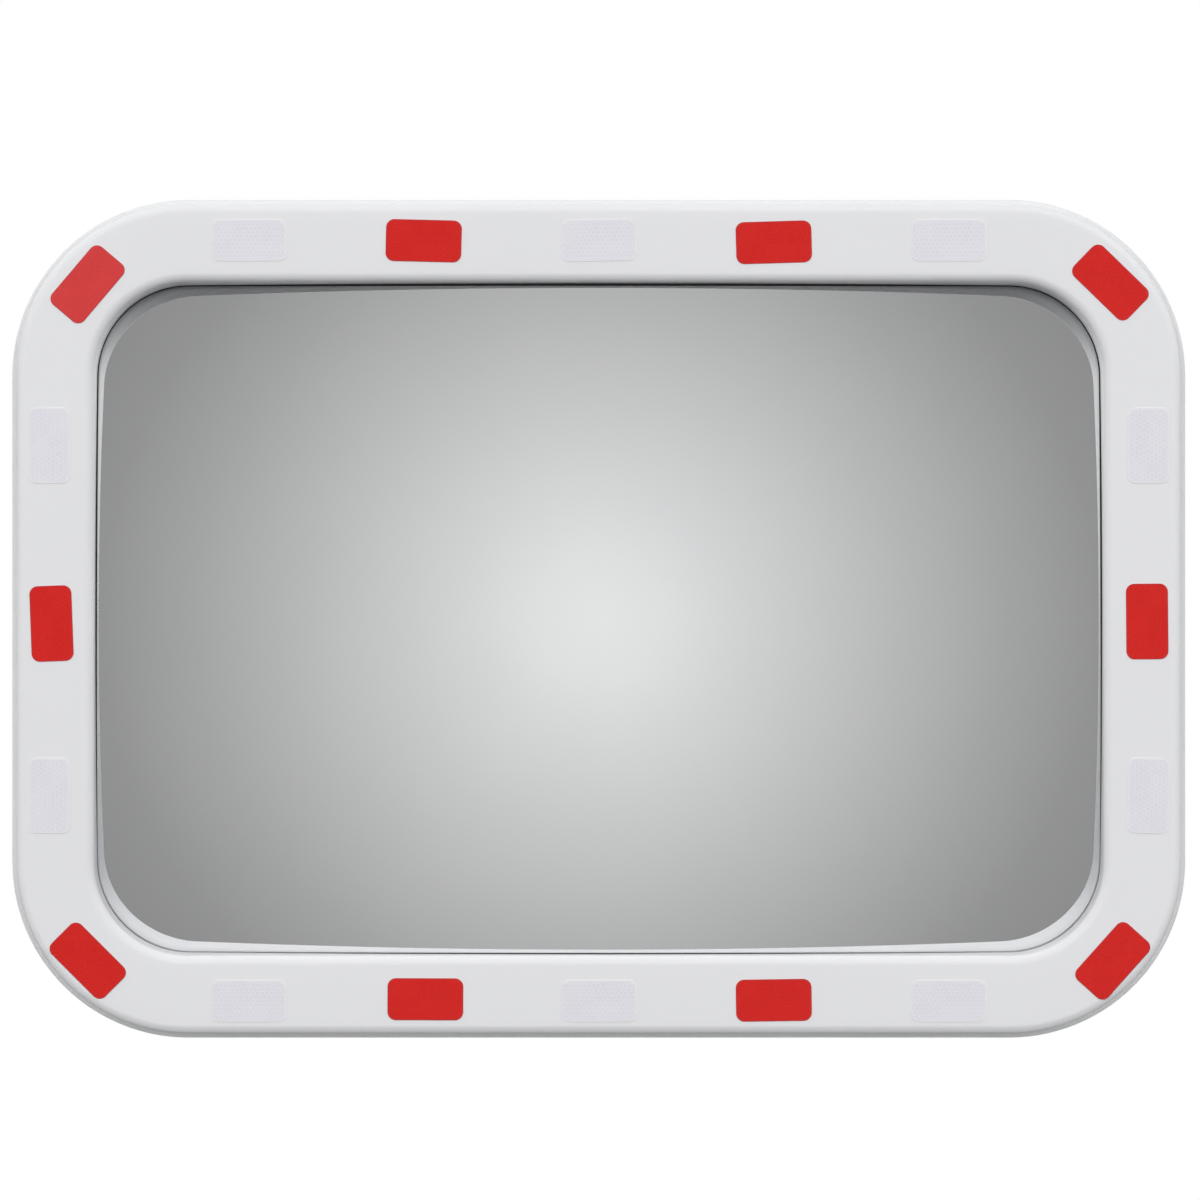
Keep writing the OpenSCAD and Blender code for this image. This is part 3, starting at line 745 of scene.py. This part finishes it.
def pan_screw(bm, place, r, length, head_r, head_h):
    """A pan-head screw with a cross recess made by pulling the middle of its dome down."""
    rings = []
    for t, z in ((1.0, 0.0), (1.0, 0.25), (0.97, 0.5), (0.9, 0.7), (0.78, 0.86), (0.62, 0.95), (0.5, 0.975),
                 (0.42, 0.985), (0.36, 0.99), (0.3, 0.995), (0.24, 1.0), (0.18, 1.0), (0.12, 1.0), (0.06, 1.0)):
        def height(a, t=t, z=z):
            arm = min(abs(math.sin(a)), abs(math.cos(a))) * t * head_r
            inside = t < 0.5 and arm < 0.13 * head_r
            return -head_h * z + (head_h * 0.55 * min(1.0, (0.5 - t) / 0.1) if inside else 0.0)
        rings.append(loop(bm, place, lambda a, t=t: head_r * t, height))
    grid(bm, rings, close_v=True)
    bm.faces.new(rings[-1])
    shank = [loop(bm, place, lambda a: r, lambda a: 0.0), loop(bm, place, lambda a: r, lambda a: length * 0.85),
             loop(bm, place, lambda a: r * 0.3, lambda a: length)]
    grid(bm, [rings[0]] + shank, close_v=True)
    bm.faces.new(shank[-1])


def facing(point, direction, roll=0.0):
    """A frame at point whose z axis runs along direction."""
    turn = Vector(direction).normalized().to_track_quat("Z", "Y").to_matrix().to_4x4()
    return Matrix.Translation(Vector(point)) @ turn @ Matrix.Rotation(math.radians(roll), 4, "Z")


def hardware(node, body, places, make, sharp=38):
    """A set of like fasteners: make(bm, place) builds one at each place. They stand for the CAD node of that name."""
    bm = bmesh.new()
    for place in places:
        make(bm, place)
    finish_mesh(node, bm, ["zinc_hardware"], body, [node], sharp=sharp)


def m6_bolt(length, thread_from):
    return lambda bm, place: bolt(bm, place, 0.003, length, 0.010, 0.004, 0.001, thread_from)


def m8_bolt(length, thread_from):
    return lambda bm, place: bolt(bm, place, 0.004, length, 0.013, 0.0053, 0.00125, thread_from)


def m10_bolt(length, thread_from):
    return lambda bm, place: bolt(bm, place, 0.005, length, 0.017, 0.0064, 0.0015, thread_from)


def nuts(*size):
    return lambda bm, place: nut(bm, place, *size)


def washers(*size):
    return lambda bm, place: washer(bm, place, *size)


PAN_Y, TILT_Y = -0.062, -0.104   # the two bolts' axes
EARS = 0.028                     # outside of the tilt bracket's ears, from the middle
LOCK_Z = 0.026                   # the lock bolts, above the tilt bolt
WEB_Y = -0.134                   # the tilt bracket's back face
M8_WASHER = (0.0041, 0.008, 0.0016)
WASHER_LIFT = 0.00004            # keeps the lock washers from lying flush on the ears they slide over


def build_fasteners():
    both = (-1, 1)
    hardware("tilt_bolt", "head", [facing((EARS + 0.0016, TILT_Y, 0), (1, 0, 0), 8)], m8_bolt(0.070, 0.046))
    hardware("tilt_nut", "head", [facing((-EARS - 0.0016, TILT_Y, 0), (-1, 0, 0), 21)],
             nuts(0.004, 0.013, 0.0065, 0.0015))
    hardware("tilt_washers", "head", [facing((s * EARS, TILT_Y, 0), (s, 0, 0)) for s in both],
             washers(*M8_WASHER), sharp=30)

    hardware("lock_bolts", "swivel", [facing((s * (EARS + 0.0012), TILT_Y, LOCK_Z), (s, 0, 0), 17 * s) for s in both],
             m6_bolt(0.018, 0.006))
    hardware("lock_washers", "swivel", [facing((s * (EARS + WASHER_LIFT), TILT_Y, LOCK_Z), (s, 0, 0)) for s in both],
             washers(0.0031, 0.0065, 0.00115), sharp=30)
    hardware("lock_nuts", "swivel", [facing((s * 0.020, TILT_Y, LOCK_Z), (-s, 0, 0), 11) for s in both],
             nuts(0.003, 0.010, 0.005))

    hardware("pan_bolt", "pole_bracket", [facing((0, PAN_Y, 0.027), (0, 0, 1), 13)], m10_bolt(0.070, 0.046))
    hardware("pan_nut", "pole_bracket", [facing((0, PAN_Y, -0.027), (0, 0, -1), 5)], nuts(0.005, 0.017, 0.008, 0.002))
    hardware("pan_washers", "pole_bracket", [facing((0, PAN_Y, s * 0.025), (0, 0, s)) for s in both],
             washers(0.0051, 0.010, 0.002), sharp=30)

    clamp = [(x, z) for x in (-0.048, 0.048) for z in (-0.018, 0.018)]
    hardware("clamp_bolts", "pole_bracket",
             [facing((x, -0.0126, z), (0, -1, 0), 19 * i) for i, (x, z) in enumerate(clamp)], m8_bolt(0.055, 0.022))
    hardware("clamp_head_washers", "pole_bracket", [facing((x, -0.011, z), (0, -1, 0)) for x, z in clamp],
             washers(*M8_WASHER), sharp=30)
    hardware("clamp_washers", "clamp_jaw", [facing((x, 0.011, z), (0, 1, 0)) for x, z in clamp],
             washers(*M8_WASHER), sharp=30)
    hardware("clamp_nuts", "clamp_jaw",
             [facing((x, 0.0126, z), (0, 1, 0), 23 * i + 7) for i, (x, z) in enumerate(clamp)],
             nuts(0.00408, 0.013, 0.0065))

    corners = [(x, z) for x in (-0.014, 0.014) for z in (-0.052, 0.052)]
    hardware("bracket_washers", "head", [facing((x, WEB_Y, z), (0, 1, 0)) for x, z in corners],
             washers(0.0034, 0.006, 0.0012), sharp=30)
    hardware("bracket_bolts", "head",
             [facing((x, WEB_Y + 0.0012, z), (0, 1, 0), 14 * i + 3) for i, (x, z) in enumerate(corners)],
             m6_bolt(0.016, 0.006))

    r = CORNER_R - 18.0
    diagonal = r * math.cos(math.pi / 4)
    spots = [(x, s * (SY + r)) for x in (-180, -60, 60, 180) for s in both]
    spots += [(s * (SX + r), y) for y in (-60, 60) for s in both]
    spots += [(x * (SX + diagonal), y * (SY + r * math.sin(math.pi / 4))) for x in both for y in both]
    hardware("rim_screws", "head", [facing(world(x, y, -3.0), (0, -1, 0), 31 * i) for i, (x, y) in enumerate(spots)],
             lambda bm, place: pan_screw(bm, place, 0.0021, 0.015, 0.004, 0.0026), sharp=40)


def soften(names, width):
    """Rounds the edges of CAD nodes that keep their own mesh, with modifiers only."""
    for name in names:
        target = nodes[name]
        for polygon in target.data.polygons:
            polygon.use_smooth = True
        bevel = target.modifiers.new("edges", "BEVEL")
        bevel.width = width
        bevel.segments = 2
        bevel.limit_method = "ANGLE"
        bevel.angle_limit = math.radians(50)
        bevel.harden_normals = True
        target.modifiers.new("normals", "WEIGHTED_NORMAL")


# ---------------------------------------------------------------- weld beads
def weld_bead(name, path, body, size=2.6):
    """A rippled fillet along path, whose places are (corner, direction along one face, along the other)."""
    bm = bmesh.new()
    rows = []
    last = len(path) - 1
    for i, (corner, a, b) in enumerate(path):
        ripple = 1.0 + 0.1 * abs(math.sin(i * 0.55)) + 0.05 * math.sin(i * 0.21 + 1.0)
        leg = size * MM * ripple * min(1.0, 0.45 + 0.14 * min(i, last - i))
        row = [bm.verts.new(corner - (a + b) * 0.2 * MM)]
        for k in range(9):
            t = math.radians(90 * k / 8)
            hollow = 1 - 0.2 * math.sin(2 * t)
            row.append(bm.verts.new(corner + (a * math.cos(t) + b * math.sin(t)) * leg * hollow))
        rows.append(row)
    grid(bm, rows, close_v=True)
    bm.faces.new(rows[0])
    bm.faces.new(rows[-1])
    finish_mesh(name, bm, ["zinc_bracket"], body, None, sharp=60)


SADDLE_R = 0.03415   # outside of the clamp saddle


def build_welds():
    """Two beads along the clamp saddle's pan ears and two along the tilt bracket's web."""
    for s, word in ((-1, "lower"), (1, "upper")):
        path = []
        for i in range(91):
            a = math.radians(-90 - 24.5 + 49 * i / 90)
            out = Vector((math.cos(a), math.sin(a), 0))
            path.append((out * SADDLE_R + Vector((0, 0, s * 0.025)), out, Vector((0, 0, s))))
        weld_bead("weld_" + word, path, "pole_bracket")
    for s, word in ((-1, "left"), (1, "right")):
        path = [(Vector((s * 0.025, WEB_Y, z * MM)), Vector((-s, 0, 0)), Vector((0, 1, 0)))
                for z in [-18 + 52 * i / 150 for i in range(151)]]
        weld_bead("weld_" + word, path, "head")


build_mirror()
build_frame()
build_gasket()
build_shell()
build_reflectors()
build_fasteners()
build_welds()
soften(["tilt_bracket", "swivel_bracket", "clamp_saddle", "clamp_jaw"], 0.0005)
soften(["tilt_spacer", "pan_spacer", "tilt_friction_washers", "pan_friction_washers", "backing_plate", "rivet_nuts"],
       0.0002)


# ---------------------------------------------------------------- floor, light and camera
FLOOR_Z = -0.75
FLOOR_FADE = (1.2, 4.2)   # distances between which the floor fades into the white around it


def build_stage():
    """A plain pale floor. From below it is clear, so that the object can be seen from there."""
    bm = bmesh.new()
    bmesh.ops.create_circle(bm, cap_ends=True, segments=96, radius=4.5,
                            matrix=Matrix.Translation((0, 0, FLOOR_Z)))
    mesh = bpy.data.meshes.new("floor")
    bm.to_mesh(mesh)
    bm.free()
    floor = bpy.data.objects.new("floor", mesh)
    bpy.context.scene.collection.objects.link(floor)
    made, n, shader, place = material("floor")
    n.tree.links.new(n.mix(n.noise(place, 2.0), rgba(0.86, 0.86, 0.86), rgba(0.9, 0.9, 0.9)),
                     shader.inputs["Base Color"])
    shader.inputs["Roughness"].default_value = 0.9
    away = n.add("ShaderNodeVectorMath", p_operation="LENGTH", i0=place).outputs["Value"]
    clear = n.add("ShaderNodeBsdfTransparent").outputs[0]
    under = n.add("ShaderNodeNewGeometry").outputs["Backfacing"]
    gone = n.math("MAXIMUM", n.mapped(away, *FLOOR_FADE), under)
    fade = n.add("ShaderNodeMixShader", i0=gone, i1=shader.outputs[0], i2=clear)
    n.tree.links.new(fade.outputs[0], n.tree.nodes["Material Output"].inputs["Surface"])
    floor.data.materials.append(made)
    floor.visible_glossy = False
    floor.visible_diffuse = False
    floor.visible_shadow = False


# The studio's light by direction. A stop is (place, level). Places run from 0, straight down, to 1, straight up,
# but for the glow's, which are its radius.
GLOW = (1631.0, 794.0)             # how fast the glow's radius grows sideways and upwards, per unit of slope
GLOW_REACH = 800.0                 # radius of its last stop
GLOW_TO_ROOM = (700.0, 2600.0)     # radii between which it gives way to the room
GLOW_STOPS = [(0, 0.84), (60, 0.80), (120, 0.72), (200, 0.62), (300, 0.505), (400, 0.4), (500, 0.315), (600, 0.28),
              (800, 0.27)]
ROOM_STOPS = [(0, 0.72), (0.25, 0.56), (0.38, 0.36), (0.48, 0.26), (0.54, 0.5), (0.75, 0.75), (1, 0.85)]
DIFFUSE_STOPS = [(0, 0.03), (0.42, 0.06), (0.5, 0.55), (0.6, 0.74), (1, 0.56)]
BOUNCE_STOPS = [(0, 0.01), (0.46, 0.02), (0.52, 0.6), (0.65, 1.3), (1, 2.5)]


def build_world():
    """A white studio, by kind of ray. The mirror sees a soft glow in front of it that fades outwards into a room.
    Dull surfaces see a sky that is dark below. What has bounced once sees a stronger one, which darkens the frame's
    inner edge at the top and lights it at the bottom. The camera sees plain white."""
    scene = bpy.context.scene
    made = bpy.data.worlds.new("studio")
    scene.world = made
    made.use_nodes = True
    tree = made.node_tree
    tree.nodes.clear()
    n = Nodes(tree)
    direction = n.add("ShaderNodeSeparateXYZ", Vector=n.add("ShaderNodeTexCoord").outputs["Generated"])
    x, y, z = direction.outputs
    ahead = n.math("MAXIMUM", n.math("MULTIPLY", y, -1.0), 0.02)
    u = n.math("MULTIPLY", n.math("DIVIDE", x, ahead), GLOW[0])
    v = n.math("MULTIPLY", n.math("DIVIDE", z, ahead), GLOW[1])
    r = n.math("SQRT", n.math("ADD", n.math("MULTIPLY", u, u), n.math("MULTIPLY", v, v)))
    height = n.mapped(z, -1.0, 1.0)

    def levels(fac, stops, reach=1.0):
        return n.ramp(fac, [(p / reach, rgba(c, c, c)) for p, c in stops])

    glow = levels(n.math("DIVIDE", r, GLOW_REACH, clamp=True), GLOW_STOPS, GLOW_REACH)
    glow = n.mix(n.mapped(r, *GLOW_TO_ROOM), glow, levels(height, ROOM_STOPS))
    behind = n.mapped(y, -0.25, 0.3)
    overhead = n.mapped(z, -0.3, 0.8, 0.15, 0.95)
    off_strip = n.math("ABSOLUTE", n.math("SUBTRACT", z, 0.25))
    bands = n.math("ADD", overhead, n.mapped(off_strip, 0.0, 0.22, 0.45, 0.0))
    glossy = n.mix(behind, glow, bands)
    glossy_shader = n.add("ShaderNodeBackground", Color=glossy, Strength=1.0)
    diffuse_shader = n.add("ShaderNodeBackground", Color=levels(height, DIFFUSE_STOPS), Strength=1.0)
    camera_shader = n.add("ShaderNodeBackground", Color=rgba(1, 1, 1), Strength=1.0)
    bounce_shader = n.add("ShaderNodeBackground", Color=levels(height, BOUNCE_STOPS), Strength=1.0)
    path = n.add("ShaderNodeLightPath")
    glossy_again = n.math("SUBTRACT", path.outputs["Glossy Depth"], 1.0)
    second = n.math("GREATER_THAN", n.math("MAXIMUM", path.outputs["Diffuse Depth"], glossy_again), 0.5)
    shade = glossy_shader
    for switch, other in ((second, bounce_shader), (path.outputs["Is Diffuse Ray"], diffuse_shader),
                          (path.outputs["Is Camera Ray"], camera_shader)):
        shade = n.add("ShaderNodeMixShader", i0=switch, i1=shade.outputs[0], i2=other.outputs[0])
    tree.links.new(shade.outputs[0], n.add("ShaderNodeOutputWorld").inputs[0])


def light(name, place, target, size, power):
    """A soft box that lights but isn't seen, neither by the camera nor in the mirror."""
    data = bpy.data.lights.new(name, "AREA")
    data.shape = "RECTANGLE"
    data.size, data.size_y = size
    data.energy = power
    made = bpy.data.objects.new(name, data)
    bpy.context.scene.collection.objects.link(made)
    made.location = place
    made.rotation_mode = "QUATERNION"
    made.rotation_quaternion = (Vector(target) - Vector(place)).to_track_quat("-Z", "Y")
    made.visible_glossy = False
    made.visible_camera = False


build_stage()
build_world()
light("key", (-1.7, -3.8, 1.3), (0, -0.2, 0), (2.6, 2.4), 37)
light("fill", (1.8, -3.8, 0.7), (0, -0.2, 0), (2.4, 2.4), 30)
light("low", (0, -3.8, -1.3), (0, -0.2, 0), (2.4, 1.2), 20)
light("overhead", (0, -1.2, 2.8), (0, -0.2, 0), (2.6, 1.6), 7)
light("under", (0, 0.25, -1.8), (0, -0.1, 0), (2.4, 0.8), 13)
for side in (-1, 1):
    light(f"side{side}", (side * 2.6, -0.9, 0.6), (0, -0.2, 0), (1.6, 1.6), 12)
light("back", (-1.6, 3.0, 2.2), (0, -0.1, 0), (2.4, 2.0), 70)

DISTANCE = 5.0        # from the frame's face
VIEW_WIDTH = 0.7129   # width of the view at that face
camera = bpy.data.cameras.new("camera")
camera.sensor_width = 36.0
camera.lens = camera.sensor_width * DISTANCE / VIEW_WIDTH
view = bpy.data.objects.new("camera", camera)
bpy.context.scene.collection.objects.link(view)
view.location = (0.00075, face_low.y - DISTANCE, 0.0112)
view.rotation_euler = (math.radians(90), 0, 0)
camera.clip_end = 100.0
bpy.context.scene.camera = view
bpy.context.scene.view_settings.view_transform = "Standard"
